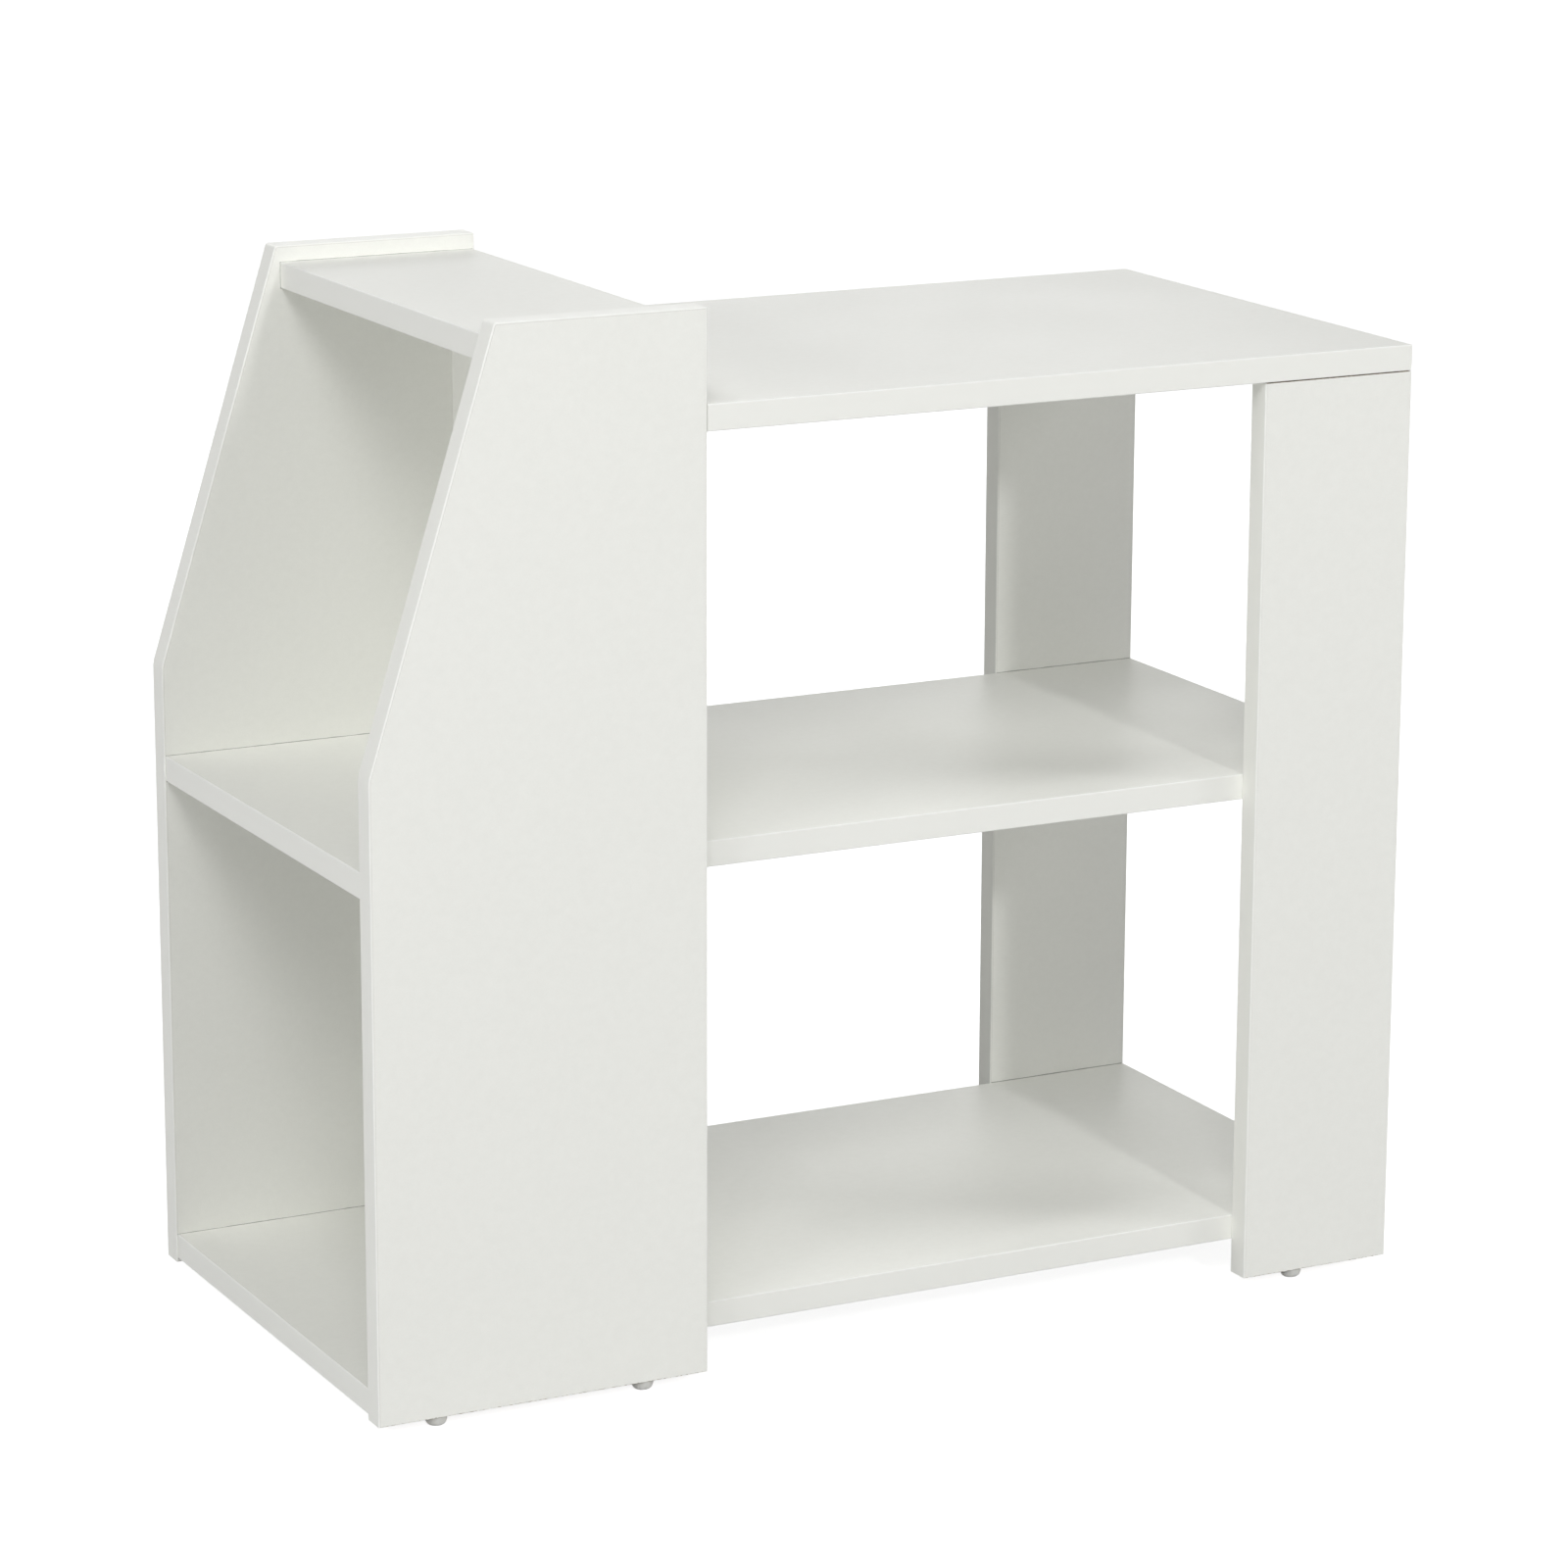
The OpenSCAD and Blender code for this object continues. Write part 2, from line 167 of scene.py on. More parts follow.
def new_group(name, inputs, outputs):
    """An empty group with inputs {name: start value}, where a tuple is a vector, and value outputs."""
    tree = bpy.data.node_groups.new(name, "ShaderNodeTree")
    for label, start in inputs.items():
        kind = "NodeSocketVector" if isinstance(start, tuple) else "NodeSocketFloat"
        tree.interface.new_socket(name=label, in_out="INPUT", socket_type=kind).default_value = start
    for label in outputs:
        tree.interface.new_socket(name=label, in_out="OUTPUT", socket_type="NodeSocketFloat")
    graph = Graph(tree)
    return graph, graph.node("NodeGroupInput").outputs, graph.node("NodeGroupOutput").inputs


def pearl_grain_group():
    """The fine pitted press texture of melamine and plastic: a height, and a faint mottle."""
    graph, given, out = new_group(
        "pearl_grain", {"Grain Size": 0.8 * MM, "Depth": 0.5}, ["Height", "Mottle"])
    where = graph.place()
    fine_scale = graph.math("DIVIDE", 1.0, given["Grain Size"])
    coarse_scale = graph.math("MULTIPLY", fine_scale, 0.21)
    fine = graph.noise(where, fine_scale, detail=3.0, roughness=0.6)
    coarse = graph.noise(where, coarse_scale, detail=2.0)
    pits = graph.span(fine, 0.36, 0.5)
    height = graph.math("MULTIPLY_ADD", coarse, 0.35, graph.math("MULTIPLY", pits, 0.65))
    graph.feed(out["Height"], graph.math("MULTIPLY", height, given["Depth"]))
    graph.feed(out["Mottle"], graph.math("MULTIPLY_ADD", fine, 0.6, graph.math("MULTIPLY", coarse, 0.4)))
    return graph.tree


def handling_group():
    """Where hands and cloths have passed: broad smudges and fine straight wipe marks."""
    graph, given, out = new_group("handling", {"Amount": 0.1}, ["Smudge"])
    where = graph.place()
    broad = graph.span(graph.noise(where, 7.0, detail=3.0, roughness=0.55), 0.38, 0.68)
    stretched = graph.node("ShaderNodeMapping", {
        "Vector": where, "Scale": (9.0, 60.0, 60.0), "Rotation": (0.2, 0.5, 0.35),
    }).outputs[0]
    wipes = graph.span(graph.noise(stretched, 6.0, detail=2.0), 0.5, 0.72)
    both = graph.math("MULTIPLY_ADD", wipes, 0.3, graph.math("MULTIPLY", broad, 0.7))
    graph.feed(out["Smudge"], graph.math("MULTIPLY", both, given["Amount"]))
    return graph.tree


def arris_group():
    """1 on the eased edges of a strip or board and 0 on its faces, told by the slope across it."""
    graph, given, out = new_group("arris", {"Across": (0.0, 0.0, 1.0)}, ["Arris"])
    normal = graph.node("ShaderNodeNewGeometry").outputs["True Normal"]
    tilt = graph.math("ABSOLUTE", graph.vectors("DOT_PRODUCT", normal, given["Across"])["Value"])
    rising = graph.span(tilt, 0.02, 0.12)
    falling = graph.span(tilt, 0.9, 0.99, 1.0, 0.0)
    graph.feed(out["Arris"], graph.math("MULTIPLY", rising, falling))
    return graph.tree


def butt_joint_group():
    """1 within an uneven hair's width of a box, the end of a board that butts against this one."""
    graph, given, out = new_group(
        "butt_joint", {"Low": (0.0, 0.0, 0.0), "High": (0.0, 0.0, 0.0), "Width": BUTT_LINE}, ["Joint"])
    where = graph.place()
    short = graph.vectors("SUBTRACT", given["Low"], where)["Vector"]
    past = graph.vectors("SUBTRACT", where, given["High"])["Vector"]
    off = graph.node("ShaderNodeSeparateXYZ", {"Vector": graph.vectors("MAXIMUM", short, past)["Vector"]})
    off_x, off_y, off_z = off.outputs
    farthest = graph.math("MAXIMUM", off_x, graph.math("MAXIMUM", off_y, off_z))
    unevenness = graph.span(graph.noise(where, 90.0, detail=3.0), 0.35, 0.65, 0.6, 1.4)
    reach = graph.math("MULTIPLY", given["Width"], unevenness)
    graph.feed(out["Joint"], graph.math("LESS_THAN", farthest, reach))
    return graph.tree


PEARL_GRAIN = pearl_grain_group()
HANDLING = handling_group()
ARRIS = arris_group()
BUTT_JOINT = butt_joint_group()


def use_group(graph, tree, **values):
    made = graph.node("ShaderNodeGroup", node_tree=tree)
    for name, value in values.items():
        graph.feed(made.inputs[name.replace("_", " ")], value)
    return made.outputs


def new_material(name):
    """A material with one Principled BSDF, its graph, and the shader's inputs."""
    material = bpy.data.materials.new(name)
    material.use_nodes = True
    graph = Graph(material.node_tree)
    shader = next(n for n in material.node_tree.nodes if n.type == "BSDF_PRINCIPLED")
    return material, graph, shader.inputs


def bump(graph, height, distance, strength=1.0):
    made = graph.node("ShaderNodeBump", {"Height": height, "Distance": distance, "Strength": strength})
    return made.outputs["Normal"]


# Colours
WHITE_FILM = (0.896, 0.90, 0.858, 1.0)
WHITE_FILM_DEEP = (0.868, 0.872, 0.83, 1.0)
# Painted shade: grey on the sawn arrises of the boards, which draws a darker line along each seam and edge
ARRIS_SHADE = (0.62, 0.62, 0.585, 1.0)
FOOT_LINE_DARK = (0.34, 0.31, 0.26, 1.0)
# Painted shade of the gap round the end of a board that butts against another
BUTT_SHADE = (0.40, 0.40, 0.37, 1.0)
SHINE_TINT = (1.0, 1.0, 0.93, 1.0)
WHITE_STRIP = (0.896, 0.90, 0.858, 1.0)
WHITE_STRIP_EDGE = (0.92, 0.925, 0.90, 1.0)
CHIP_TONES = (
    (0.34, 0.25, 0.17, 1.0), (0.50, 0.39, 0.27, 1.0), (0.60, 0.50, 0.37, 1.0), (0.70, 0.60, 0.46, 1.0),
)
CHIP_GAP = (0.24, 0.17, 0.11, 1.0)
MOULDED_WHITE = (0.70, 0.705, 0.68, 1.0)
MOULDED_SCUFFED = (0.62, 0.62, 0.59, 1.0)
ZINC_DARK = (0.52, 0.53, 0.54, 1.0)
ZINC_PALE = (0.66, 0.67, 0.68, 1.0)
STEEL_PLAIN = (0.66, 0.64, 0.58, 1.0)
STEEL_YELLOW = (0.70, 0.62, 0.44, 1.0)
BEECH_DARK = (0.50, 0.33, 0.18, 1.0)
BEECH_PALE = (0.66, 0.48, 0.29, 1.0)
BEECH_FLECK = (0.30, 0.17, 0.08, 1.0)

# Roughness of the dull and of the polished places of each surface, and the film's shine
FILM_ROUGH, FILM_POLISHED = 0.50, 0.42
STRIP_ROUGH, STRIP_POLISHED = 0.44, 0.36
CHIPBOARD_ROUGH = 0.85
MOULDED_POLISHED, MOULDED_ROUGH = 0.36, 0.56
ZINC_POLISHED, ZINC_ROUGH = 0.34, 0.56
STEEL_POLISHED, STEEL_ROUGH = 0.22, 0.38
BEECH_ROUGH = 0.72
FILM_SHINE = 0.3

# How far the gaps between wood chips lie below them, against the film's grain
CHIP_RELIEF = 8.0


def chipboard(graph, where):
    """Pressed wood chips, pale and brown flakes with dark gaps: their colour, and how deep they lie."""
    flat_chips = graph.node("ShaderNodeMapping", {"Vector": where, "Scale": (1.0, 1.0, 2.6)}).outputs[0]
    flakes = graph.node("ShaderNodeTexVoronoi", {"Vector": flat_chips, "Scale": 620.0})
    tone = graph.node("ShaderNodeSeparateColor", {"Color": flakes.outputs["Color"]}).outputs[0]
    ramp = graph.node("ShaderNodeValToRGB", {"Fac": tone})
    stops = ramp.color_ramp.elements
    stops[0].color, stops[1].color = CHIP_TONES[0], CHIP_TONES[-1]
    for position, colour in zip((0.25, 0.6), CHIP_TONES[1:-1]):
        stops.new(position).color = colour
    distance = flakes.outputs["Distance"]
    gaps = graph.span(distance, 0.35, 0.75)
    return graph.mix(gaps, ramp.outputs[0], CHIP_GAP), graph.math("MULTIPLY", distance, CHIP_RELIEF)


def banded_box(node):
    """The box of a board with its edge banding."""
    (low, high), (band_low, band_high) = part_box(node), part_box(node + "_banding")
    return (
        tuple(min(a, b) for a, b in zip(low, band_low)),
        tuple(max(a, b) for a, b in zip(high, band_high)),
    )


def with_dark_foot_line(graph, where, white):
    """The film's colour, with a ragged dark brown line along the foot of an upright board."""
    dark_up_to = graph.span(graph.noise(where, 700.0, detail=3.0), 0.35, 0.65, FOOT, FOOT + FOOT_RAGGED)
    return graph.mix(graph.math("LESS_THAN", graph.along(where, "Z"), dark_up_to), white, FOOT_LINE_DARK)


def with_butt_lines(graph, white, butting):
    """The film's colour, with a painted shade line round the end of each board named in butting."""
    for node in butting:
        low, high = banded_box(node)
        joint = use_group(graph, BUTT_JOINT, Low=low, High=high)["Joint"]
        white = graph.mix(joint, white, BUTT_SHADE)
    return white


def shine_as_film(shader):
    shader["Specular IOR Level"].default_value = FILM_SHINE
    shader["Specular Tint"].default_value = SHINE_TINT


def melamine_board(name, across, butting=()):
    """White film on the two faces of a board, whose thickness runs along across, and chipboard between.
    The boards named in butting end against it, and painted shade lines run round their ends; the sawn
    arrises carry painted shade too."""
    material, graph, shader = new_material(name)
    where = graph.place()
    axis = "XYZ"[[abs(c) for c in across].index(1)]
    depth = graph.along(graph.node("ShaderNodeTexCoord").outputs["Generated"], axis)
    from_middle = graph.math("ABSOLUTE", graph.math("SUBTRACT", depth, 0.5))
    film = graph.math("GREATER_THAN", from_middle, 0.5 - FILM / BOARD)

    grain = use_group(graph, PEARL_GRAIN, Grain_Size=0.9 * MM, Depth=1.0)
    smudge = use_group(graph, HANDLING, Amount=0.09)["Smudge"]
    arris_shade = use_group(graph, ARRIS, Across=tuple(across))["Arris"]
    pressed = graph.mix(graph.span(grain["Mottle"], 0.35, 0.65), WHITE_FILM_DEEP, WHITE_FILM)
    # Painted shade on the sawn arrises: a darker line along each seam and edge
    white = graph.mix(arris_shade, pressed, ARRIS_SHADE)
    if axis == "Y":
        # A ragged dark brown line along the foot of an upright board
        white = with_dark_foot_line(graph, where, white)
    # Painted shade lines round the ends of the boards that butt against this one
    white = with_butt_lines(graph, white, butting)
    chips, chip_depth = chipboard(graph, where)
    graph.feed(shader["Base Color"], graph.mix(film, chips, white))

    film_gloss = graph.span(grain["Mottle"], 0.3, 0.7, FILM_ROUGH, FILM_POLISHED)
    film_gloss = graph.math("ADD", film_gloss, smudge)
    graph.feed(shader["Roughness"], graph.choose(film, film_gloss, CHIPBOARD_ROUGH))
    height = graph.choose(film, grain["Height"], chip_depth)
    graph.feed(shader["Normal"], bump(graph, height, 0.02 * MM, 0.6))
    shine_as_film(shader)
    return material


def banding_plastic(name, across):
    """White edge banding: a fine grain, a few smudges, and rounded edges that are lighter and smoother in
    spots.
    """
    material, graph, shader = new_material(name)
    grain = use_group(graph, PEARL_GRAIN, Grain_Size=0.7 * MM, Depth=1.0)
    smudge = use_group(graph, HANDLING, Amount=0.06)["Smudge"]
    arris = use_group(graph, ARRIS, Across=tuple(across))["Arris"]
    spots = graph.span(graph.noise(graph.place(), 900.0, detail=3.0), 0.42, 0.62)
    # A lighter, whiter colour and a lower roughness on the rounded edges, in spots
    edge_spots = graph.math("MULTIPLY", arris, graph.math("MULTIPLY_ADD", spots, 0.5, 0.5))
    graph.feed(shader["Base Color"], graph.mix(edge_spots, WHITE_STRIP, WHITE_STRIP_EDGE))
    gloss = graph.math("ADD", graph.span(grain["Mottle"], 0.3, 0.7, STRIP_ROUGH, STRIP_POLISHED), smudge)
    graph.feed(shader["Roughness"], graph.math("SUBTRACT", gloss, graph.math("MULTIPLY", edge_spots, 0.08)))
    graph.feed(shader["Normal"], bump(graph, grain["Height"], 0.015 * MM, 0.5))
    shine_as_film(shader)
    return material


def moulded_plastic():
    """Off-white moulded plastic of the glides and the cam caps."""
    material, graph, shader = new_material("moulded_plastic")
    grain = use_group(graph, PEARL_GRAIN, Grain_Size=0.5 * MM, Depth=1.0)
    scuffs = graph.span(graph.noise(graph.place(), 240.0, detail=4.0, roughness=0.7), 0.5, 0.75)
    graph.feed(shader["Base Color"], graph.mix(scuffs, MOULDED_WHITE, MOULDED_SCUFFED))
    scuffed_by = MOULDED_ROUGH - MOULDED_POLISHED
    graph.feed(shader["Roughness"], graph.math("MULTIPLY_ADD", scuffs, scuffed_by, MOULDED_POLISHED))
    graph.feed(shader["Normal"], bump(graph, grain["Height"], 0.012 * MM, 0.5))
    shader["Subsurface Weight"].default_value = 0.25
    shader["Subsurface Radius"].default_value = (1.0, 0.9, 0.75)
    shader["Subsurface Scale"].default_value = 1.2 * MM
    return material


def zinc_casting():
    """Die-cast zinc of the cam locks: dull, with a fine cast skin."""
    material, graph, shader = new_material("zinc_casting")
    where = graph.place()
    skin = graph.noise(where, 1600.0, detail=4.0, roughness=0.65)
    pale = graph.span(graph.noise(where, 180.0, detail=3.0), 0.35, 0.65)
    graph.feed(shader["Base Color"], graph.mix(pale, ZINC_DARK, ZINC_PALE))
    shader["Metallic"].default_value = 1.0
    graph.feed(shader["Roughness"], graph.span(skin, 0.3, 0.7, ZINC_POLISHED, ZINC_ROUGH))
    graph.feed(shader["Normal"], bump(graph, skin, 0.03 * MM, 0.5))
    return material


def plated_steel():
    """Zinc-plated steel of the bolts and nails, with a faint yellow cast and turning marks."""
    material, graph, shader = new_material("plated_steel")
    where = graph.place()
    tint = graph.span(graph.noise(where, 140.0, detail=3.0), 0.4, 0.62)
    graph.feed(shader["Base Color"], graph.mix(tint, STEEL_PLAIN, STEEL_YELLOW))
    shader["Metallic"].default_value = 1.0
    marks = graph.noise(where, 2200.0, detail=2.0)
    graph.feed(shader["Roughness"], graph.span(marks, 0.3, 0.7, STEEL_POLISHED, STEEL_ROUGH))
    graph.feed(shader["Normal"], bump(graph, marks, 0.01 * MM, 0.4))
    return material


def beech_wood():
    """Beech of the dowels: two pale browns, with small dark flecks."""
    material, graph, shader = new_material("beech_wood")
    where = graph.place()
    rings = graph.noise(where, 260.0, detail=3.0, roughness=0.6)
    flecks = graph.span(graph.noise(where, 1500.0, detail=2.0), 0.6, 0.7)
    body = graph.mix(graph.span(rings, 0.35, 0.65), BEECH_DARK, BEECH_PALE)
    graph.feed(shader["Base Color"], graph.mix(flecks, body, BEECH_FLECK))
    shader["Roughness"].default_value = BEECH_ROUGH
    graph.feed(shader["Normal"], bump(graph, rings, 0.05 * MM, 0.5))
    return material


def finish(piece, material, smooth_angle=None):
    """Gives a piece one material, and smooths its shading over edges flatter than smooth_angle."""
    piece.data.materials.clear()
    piece.data.materials.append(material)
    if smooth_angle is not None:
        for face in piece.data.polygons:
            face.use_smooth = True
        piece.data.set_sharp_from_angle(angle=radians(smooth_angle))


# ---------------------------------------------------------------- pieces

def new_piece(name, mesh_maker, slot, *replaced):
    """A piece from a function that fills a bmesh. It stands for CAD nodes and rides on the table."""
    mesh = bpy.data.meshes.new(name)
    shape = bmesh.new()
    mesh_maker(shape)
    bmesh.ops.remove_doubles(shape, verts=shape.verts, dist=SAME_POINT)
    bmesh.ops.dissolve_degenerate(shape, edges=shape.edges, dist=NO_LENGTH)
    bmesh.ops.recalc_face_normals(shape, faces=shape.faces)
    shape.to_mesh(mesh)
    shape.free()
    piece = bpy.data.objects.new(name, mesh)
    bpy.context.scene.collection.objects.link(piece)
    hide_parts(*replaced)
    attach(piece, ROOT)
    return piece


def outward(start, end):
    """The direction out of a clockwise outline, square to the edge from start to end."""
    along = (end - start).normalized()
    return Vector((-along.y, along.x))


def corner_pairs(before, corner, after, radius):
    """Points round a corner of the outline, each with the point under it on the board's own edge."""
    first, second = outward(before, corner), outward(corner, after)
    mitre = (first + second) / (1 + first.dot(second))
    inner_corner = corner - mitre * BAND
    centre = corner - mitre * radius
    inner_radius = max(0.0, radius - BAND)
    turn = acos(max(-1.0, min(1.0, first.dot(second))))
    pairs = []
    for step in range(CORNER_STEPS + 1):
        angle = -turn * step / CORNER_STEPS
        way = Vector((
            first.x * cos(angle) - first.y * sin(angle),
            first.x * sin(angle) + first.y * cos(angle),
        ))
        inner = centre + way * inner_radius if inner_radius > 0 else inner_corner
        pairs.append((centre + way * radius, inner))
    return pairs


def banding_path(corners, radii):
    """Pairs of outer and inner points along an open outline, with the corners between its ends rounded."""
    first_way = outward(corners[0], corners[1])
    last_way = outward(corners[-2], corners[-1])
    pairs = [(corners[0], corners[0] - first_way * BAND)]
    for i in range(1, len(corners) - 1):
        pairs += corner_pairs(corners[i - 1], corners[i], corners[i + 1], radii[i - 1])
    return pairs + [(corners[-1], corners[-1] - last_way * BAND)]


def band_section(height):
    """Section of a strip: (share of the way out, place across the board), round it once."""
    half = height / 2
    round_share = 1 - BAND_ROUND / BAND
    rounding = [
        (round_share + (1 - round_share) * sin(a), half - BAND_ROUND * (1 - cos(a)))
        for a in (pi / 2 * k / ROUND_STEPS for k in range(ROUND_STEPS + 1))
    ]
    upper = [(0.0, half - BAND_SEAM), (BAND_SEAM / BAND, half)] + rounding
    return upper + [(out, -across) for out, across in reversed(upper)]


def sweep_band(shape, pairs, height, to_space):
    """Sweeps the strip's section along the pairs and closes its two ends."""
    section = band_section(height)
    rings = []
    for outer, inner in pairs:
        rings.append([
            shape.verts.new(to_space(inner + (outer - inner) * out, across)) for out, across in section
        ])
    count = len(section)
    for ring, following in zip(rings, rings[1:]):
        for i in range(count):
            j = (i + 1) % count
            shape.faces.new((ring[i], ring[j], following[j], following[i]))
    shape.faces.new(rings[0])
    shape.faces.new(rings[-1])


def upright_xz(y_middle):
    return lambda point, across: Vector((point.x, y_middle + across, point.y))


def level_xy(z_middle):
    return lambda point, across: Vector((point.x, point.y, z_middle + across))


def strips(node, paths, height, to_space):
    """One piece for the banding of a board: a strip along each path."""
    def fill(shape):
        for pairs in paths:
            sweep_band(shape, pairs, height, to_space)
    return new_piece(node + "_strip", fill, "white_banding", node)


def straight_paths(low, high, edges):
    """Paths along single edges of a rectangle, in plan or front view, each clockwise."""
    ends = {
        "left": [Vector((low.x, low.y)), Vector((low.x, high.y))],
        "right": [Vector((high.x, high.y)), Vector((high.x, low.y))],
    }
    return [banding_path(ends[edge], []) for edge in edges]


def side_strip(node):
    low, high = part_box(node)
    corners = [
        Vector((low.x, low.z)), Vector((low.x, SLANT_START)),
        Vector((low.x + SLANT_SETBACK, high.z)), Vector((high.x, high.z)), Vector((high.x, low.z)),
    ]
    path = banding_path(corners, [SLANT_RADIUS, SIDE_CORNER, SIDE_CORNER / 2])
    return strips(node, [path], high.y - low.y, upright_xz((low.y + high.y) / 2))


def table_strip(node):
    low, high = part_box(node)
    start = low.x + JOINT
    corners = [
        Vector((start, high.y)), Vector((high.x, high.y)), Vector((high.x, low.y)), Vector((start, low.y)),
    ]
    path = banding_path(corners, [TABLE_CORNER, TABLE_CORNER])
    return strips(node, [path], high.z - low.z, level_xy((low.z + high.z) / 2))


def shelf_strip(node, edges):
    low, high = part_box(node)
    paths = straight_paths(low.xy, high.xy, edges)
    return strips(node, paths, high.z - low.z, level_xy((low.z + high.z) / 2))


def leg_strip(node):
    low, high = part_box(node)
    paths = straight_paths(Vector((low.x, low.z)), Vector((high.x, high.z)), ["left", "right"])
    return strips(node, paths, high.y - low.y, upright_xz((low.y + high.y) / 2))


def lathe(shape, profile, foot, axis, steps=64):
    """Turns a profile of (radius, height) points about an axis through foot."""
    side = axis.orthogonal().normalized()
    other = axis.cross(side)
    rings = []
    for radius, height in profile:
        middle = foot + axis * height
        if radius == 0:
            rings.append([shape.verts.new(middle)] * steps)
            continue
        rings.append([
            shape.verts.new(middle + (side * cos(a) + other * sin(a)) * radius)
            for a in (2 * pi * k / steps for k in range(steps))
        ])
    for ring, following in zip(rings, rings[1:]):
        for i in range(steps):
            j = (i + 1) % steps
            corners = list(dict.fromkeys((ring[i], ring[j], following[j], following[i])))
            if len(corners) > 2:
                shape.faces.new(corners)


def arc(centre, radius, start, end, steps):
    """Points of an arc in (radius, height), with angles in degrees from the outward direction."""
    return [
        (centre[0] + radius * cos(radians(a)), centre[1] + radius * sin(radians(a)))
        for a in (start + (end - start) * k / steps for k in range(steps + 1))
    ]


def glide_foot(node):
    """A glide with a thin rim against the board, a wall that curves in, and a dished flat."""
    low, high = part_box(node)
    radius = (high.x - low.x) / 2
    height = high.z - low.z
    flat = radius * 7 / 13
    rim, rim_under = 0.5 * MM, 0.15 * MM
    wall_radius = radius - 0.25 * MM
    wall, wall_steps = 1.5 * MM, 12
    edge, edge_out, edge_rise = 0.4 * MM, 0.05 * MM, 0.12 * MM
    dish, dish_depth = 2.6 * MM, 0.5 * MM
    curve = [
        (flat + (wall_radius - flat) * sin(a), height - (height - wall) * cos(a) - wall)
        for a in (pi / 2 * k / wall_steps for k in range(wall_steps + 1))
    ]
    profile = [(0, dish_depth), (dish - 1.2 * MM, 0.9 * dish_depth), (dish - 0.4 * MM, 0.2 * dish_depth)]
    profile += [(dish, 0), (flat - edge, 0), (flat + edge_out, edge_rise)] + curve[1:]
    profile += [(wall_radius, height - rim - rim_under), (radius, height - rim), (radius, height)]
    profile += [(0, height)]
    foot = Vector(((low.x + high.x) / 2, (low.y + high.y) / 2, low.z))

    def fill(shape):
        lathe(shape, profile, foot, UP)
    return new_piece(node + "_foot", fill, "white_plastic", node)


def loose_parts(node):
    """The box of each separate solid of a node, as (lowest corner, highest corner)."""
    shape = bmesh.new()
    shape.from_mesh(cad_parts[node].data)
    bmesh.ops.remove_doubles(shape, verts=shape.verts, dist=NO_LENGTH)
    shape.verts.ensure_lookup_table()
    seen = set()
    boxes = []
    for start in shape.verts:
        if start in seen:
            continue
        seen.add(start)
        group, waiting = [], [start]
        while waiting:
            vertex = waiting.pop()
            group.append(vertex.co.copy())
            for edge in vertex.link_edges:
                neighbour = edge.other_vert(vertex)
                if neighbour not in seen:
                    seen.add(neighbour)
                    waiting.append(neighbour)
        boxes.append(tuple(
            Vector([pick(point[i] for point in group) for i in range(3)]) for pick in (min, max)
        ))
    shape.free()
    return boxes


def cap_profile(height):
    """Half section of a snap-in cap: a bevelled pin, a rounded rim, and a shallow ring in the face."""
    radius = 8.5 * MM
    pin, pin_length, pin_bevel = 1.6 * MM, 1.8 * MM, 0.3 * MM
    rim, rim_turn, rim_steps = 0.45 * MM, 70, 6
    ring_out = radius - 1.6 * MM
    ring_slope, ring_flat, ring_depth = 0.2 * MM, 0.3 * MM, 0.12 * MM
    ring_in = ring_out - ring_slope - ring_flat
    profile = [(0, -pin_length), (pin - pin_bevel, -pin_length), (pin, pin_bevel - pin_length), (pin, 0)]
    profile += [(radius, 0)] + arc((radius - rim, rim), rim, 0, rim_turn, rim_steps)
    profile += [(ring_out, height), (ring_out - ring_slope, height - ring_depth)]
    return profile + [(ring_in, height - ring_depth), (ring_in - ring_slope, height), (0, height)]


def cap_pieces(node, facing):
    """One piece for the caps of a node. facing gives the way out for a cap's middle."""
    height = 1.0 * MM

    def fill(shape):
        for low, high in loose_parts(node):
            centre = (low + high) / 2
            way = facing(centre)
            face = Vector([
                high[i] if way[i] > 0 else low[i] if way[i] < 0 else centre[i] for i in range(3)
            ])
            lathe(shape, cap_profile(height), face - way * height, way)
    return new_piece(node + "_discs", fill, "white_plastic", node)


def ease_edges(board):
    """Joins the faces of a board and takes the sharpness off its sawn edges."""
    weld = board.modifiers.new("joined_faces", "WELD")
    weld.merge_threshold = SAME_POINT
    arris = board.modifiers.new("sawn_arris", "BEVEL")
    arris.width = SAWN_ARRIS
    arris.segments = 1
    arris.limit_method = "ANGLE"
    arris.angle_limit = radians(50)
    arris.use_clamp_overlap = False


SIDES = ["rack_front_side", "rack_back_side"]
LEGS = ["front_leg", "back_leg"]
TABLE_BOARDS = ["table_top", "table_middle_shelf", "table_bottom_shelf"]
RACK_SHELVES = {
    "rack_top_shelf": ["left", "right"], "rack_middle_shelf": ["left"], "rack_bottom_shelf": ["left"],
}

film_side = melamine_board("melamine_side", BACKWARD, list(RACK_SHELVES))
film_leg = melamine_board("melamine_leg", BACKWARD, TABLE_BOARDS[1:])
film_level = melamine_board("melamine_level", UP)
film_divider = melamine_board("melamine_divider", RIGHT, list(RACK_SHELVES) + TABLE_BOARDS)
band_upright = banding_plastic("banding_upright", BACKWARD)
band_level = banding_plastic("banding_level", UP)
plastic = moulded_plastic()
zinc = zinc_casting()
steel = plated_steel()
beech = beech_wood()

# Boards
board_films = {
    film_side: SIDES,
    film_leg: LEGS,
    film_level: TABLE_BOARDS + list(RACK_SHELVES),
    film_divider: ["divider"],
}
for film, boards in board_films.items():
    for name in boards:
        finish(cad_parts[name], film)
        ease_edges(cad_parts[name])

# Edge banding
for name in SIDES:
    finish(side_strip(name + "_banding"), band_upright)
for name in LEGS:
    finish(leg_strip(name + "_banding"), band_upright)
for name in TABLE_BOARDS:
    finish(table_strip(name + "_banding"), band_level)
for name, edges in RACK_SHELVES.items():
    finish(shelf_strip(name + "_banding", edges), band_level)

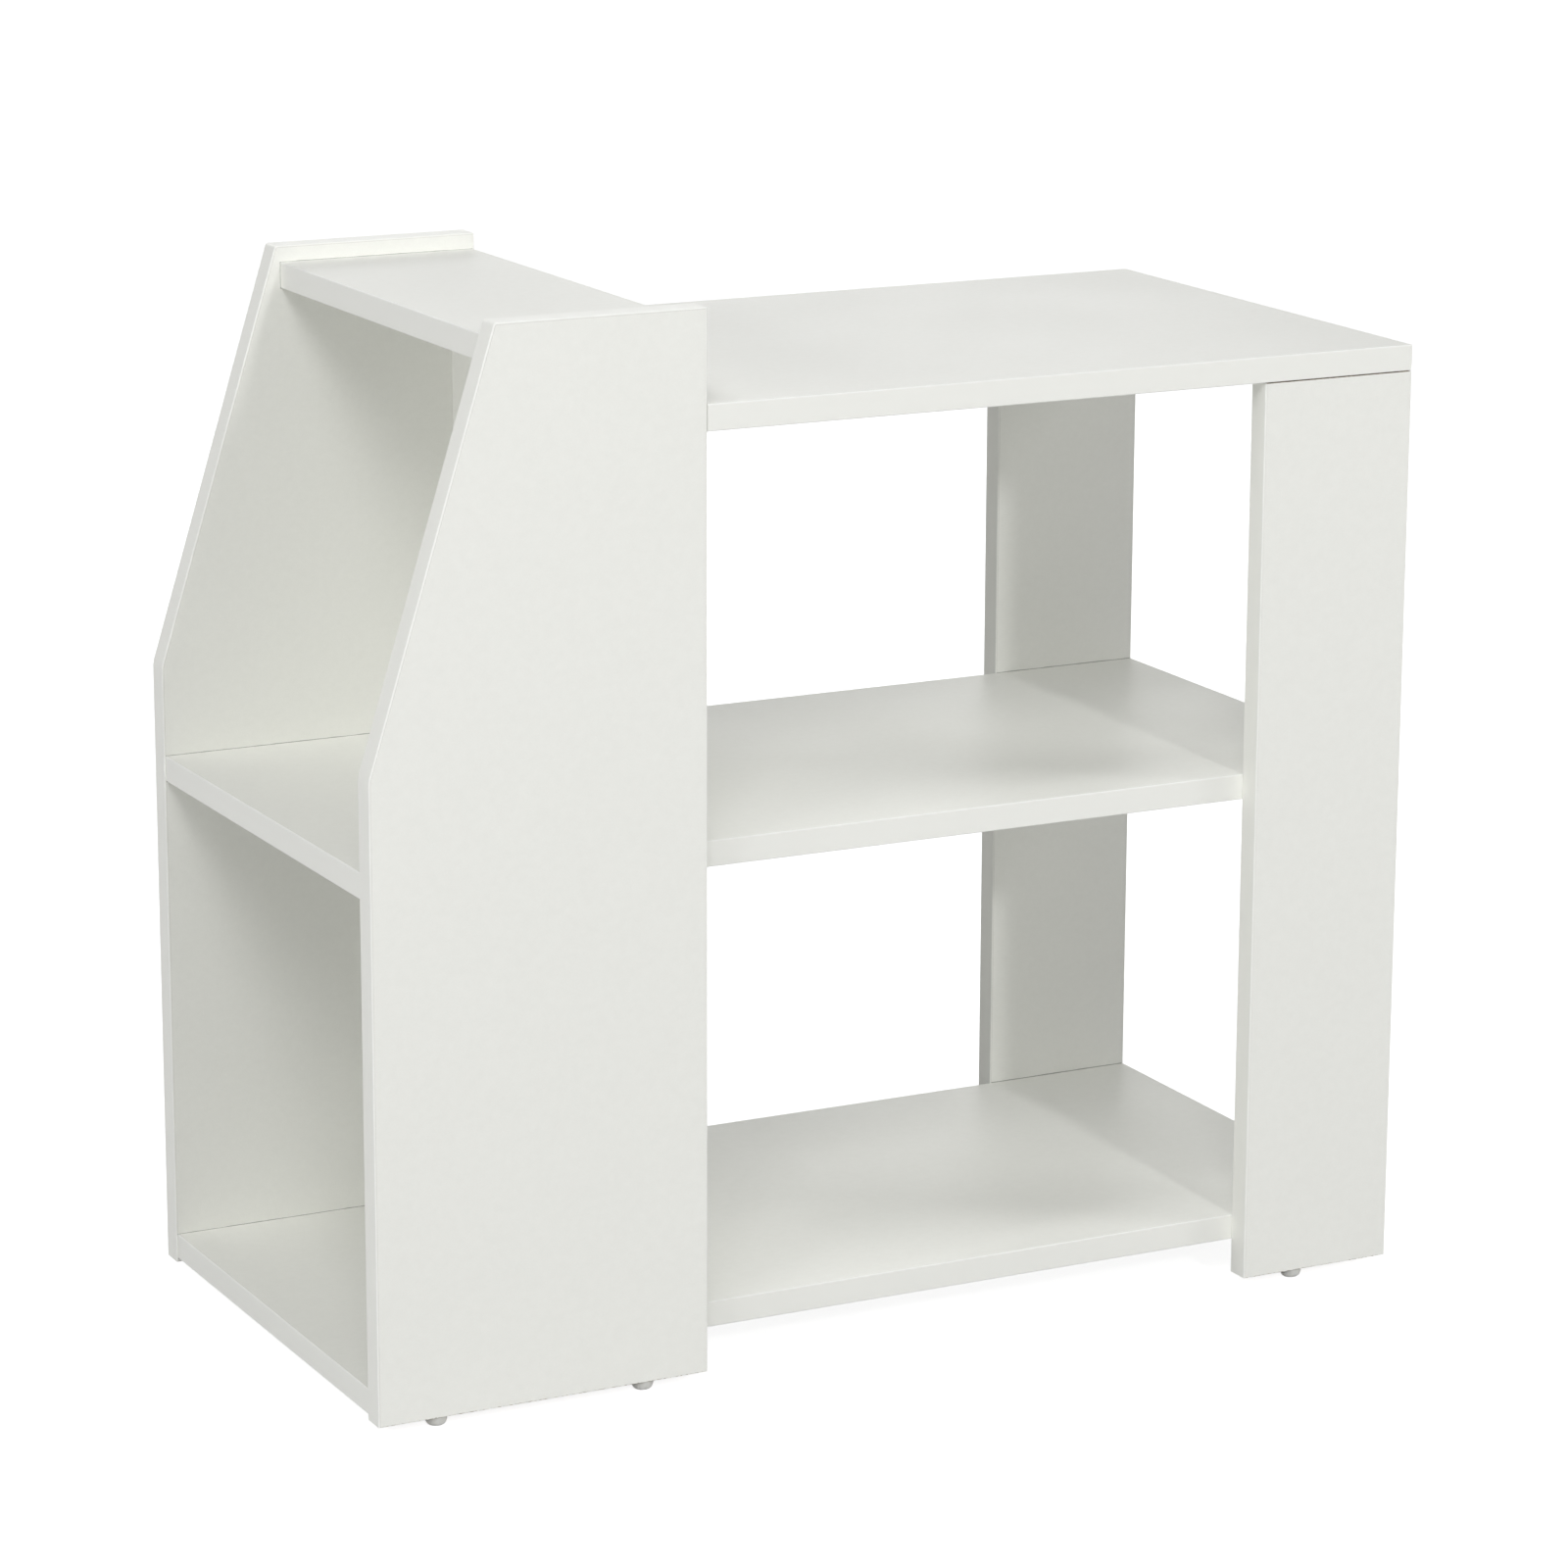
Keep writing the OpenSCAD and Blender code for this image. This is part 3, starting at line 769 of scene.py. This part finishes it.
# Fittings
for name in ("rack_cam_locks", "table_cam_locks"):
    finish(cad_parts[name], zinc)
for name in ("rack_cam_bolts", "table_cam_bolts", "glide_nails"):
    finish(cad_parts[name], steel)
for name in ("rack_dowels", "table_dowels"):
    finish(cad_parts[name], beech)
finish(cap_pieces("divider_cam_caps", lambda centre: LEFT), plastic, smooth_angle=40)
caps_between_legs = cap_pieces("leg_cam_caps", lambda centre: BACKWARD if centre.y < 0 else FORWARD)
finish(caps_between_legs, plastic, smooth_angle=40)
for name in [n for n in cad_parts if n.startswith("glide_") and n != "glide_nails"]:
    finish(glide_foot(name), plastic, smooth_angle=35)


# ---------------------------------------------------------------- studio

WHITE = (1.0, 1.0, 1.0, 1.0)
FLOOR_GREY = (0.5, 0.5, 0.5, 1.0)
FLOOR_REACH = 20.0
FLOOR_GLOW = 0.875
SURROUND = 0.25
TABLE_MIDDLE = (cad_box[0] + cad_box[1]) / 2


def link(name, data):
    made = bpy.data.objects.new(name, data)
    bpy.context.scene.collection.objects.link(made)
    return made


def seen_directly(graph):
    """1 for what the camera, a reflection or glass sees, and 0 for the light that falls on the table."""
    rays = graph.node("ShaderNodeLightPath").outputs
    mirrored = graph.math("MAXIMUM", rays["Is Glossy Ray"], rays["Is Transmission Ray"])
    return graph.math("MAXIMUM", rays["Is Camera Ray"], mirrored)


def studio_floor():
    """A pale floor that shows as white in the open and keeps the shadow under the table."""
    material, graph, shader = new_material("studio_floor")
    shader["Base Color"].default_value = FLOOR_GREY
    graph.feed(shader["Roughness"], graph.span(graph.noise(graph.place(), 3.0), 0.3, 0.7, 0.7, 0.85))
    shader["Emission Color"].default_value = WHITE
    graph.feed(shader["Emission Strength"], graph.math("MULTIPLY", seen_directly(graph), FLOOR_GLOW))
    mesh = bpy.data.meshes.new("studio_floor")
    shape = bmesh.new()
    corners = ((-1, -1), (1, -1), (1, 1), (-1, 1))
    shape.faces.new([shape.verts.new((x * FLOOR_REACH, y * FLOOR_REACH, 0.0)) for x, y in corners])
    shape.to_mesh(mesh)
    shape.free()
    floor = link("studio_floor", mesh)
    mesh.materials.append(material)


def studio_world():
    """An even white surround, pure white where it is seen directly."""
    world = bpy.data.worlds.new("studio_world")
    bpy.context.scene.world = world
    world.use_nodes = True
    graph = Graph(world.node_tree)
    background = world.node_tree.nodes["Background"].inputs
    background["Color"].default_value = WHITE
    graph.feed(background["Strength"], graph.span(seen_directly(graph), 0.0, 1.0, SURROUND, 1.0))


def softbox(name, bearing, height, power, size=0.8, distance=3.0):
    """A square soft light, turned to the table. bearing is in degrees from the front, towards the open
    end, and height is its angle over the table's middle."""
    data = bpy.data.lights.new(name, "AREA")
    data.shape = "SQUARE"
    data.size = size
    data.energy = power
    around, up = radians(bearing), radians(height)
    way = Vector((sin(around) * cos(up), -cos(around) * cos(up), sin(up)))
    lamp = link(name, data)
    lamp.location = TABLE_MIDDLE + way * distance
    lamp.rotation_euler = (-way).to_track_quat("-Z", "Y").to_euler()


studio_floor()
studio_world()
softbox("key_lamp", 2.6, 23, 24.0, size=0.2, distance=3.53)
softbox("left_lamp", -76, 20, 9.5, size=0.24, distance=3.22)
softbox("front_left_box", -30, 38, 54.0, size=1.4, distance=5.0)
softbox("left_low_box", -60, 12, 10.0)
softbox("left_high_box", -60, 64, 13.0)
softbox("right_low_box", 60, 12, 8.0)
softbox("right_box", 60, 38, 8.5)
softbox("back_right_box", 154, 12, 5.5, size=1.2)
softbox("back_box", 180, 15, 10.0)

# Camera
CAMERA_PLACE = Vector((-1.381, -2.7121, 1.055))
CAMERA_YAW = radians(27.05)
CAMERA_PITCH = radians(14.03)
CAMERA_ROLL = radians(0.19)
SENSOR_WIDTH = 36.0
FOCAL_LENGTH = 123.75
FARTHEST_SEEN = 100.0
lens = bpy.data.cameras.new("camera")
lens.sensor_width = SENSOR_WIDTH
lens.lens = FOCAL_LENGTH
lens.clip_end = FARTHEST_SEEN
camera = link("camera", lens)
camera.location = CAMERA_PLACE
ahead = Vector((
    sin(CAMERA_YAW) * cos(CAMERA_PITCH), cos(CAMERA_YAW) * cos(CAMERA_PITCH), -sin(CAMERA_PITCH),
))
camera.rotation_euler = ahead.to_track_quat("-Z", "Y").to_euler()
camera.rotation_euler.rotate_axis("Z", CAMERA_ROLL)
bpy.context.scene.camera = camera
bpy.context.scene.view_settings.view_transform = "Standard"
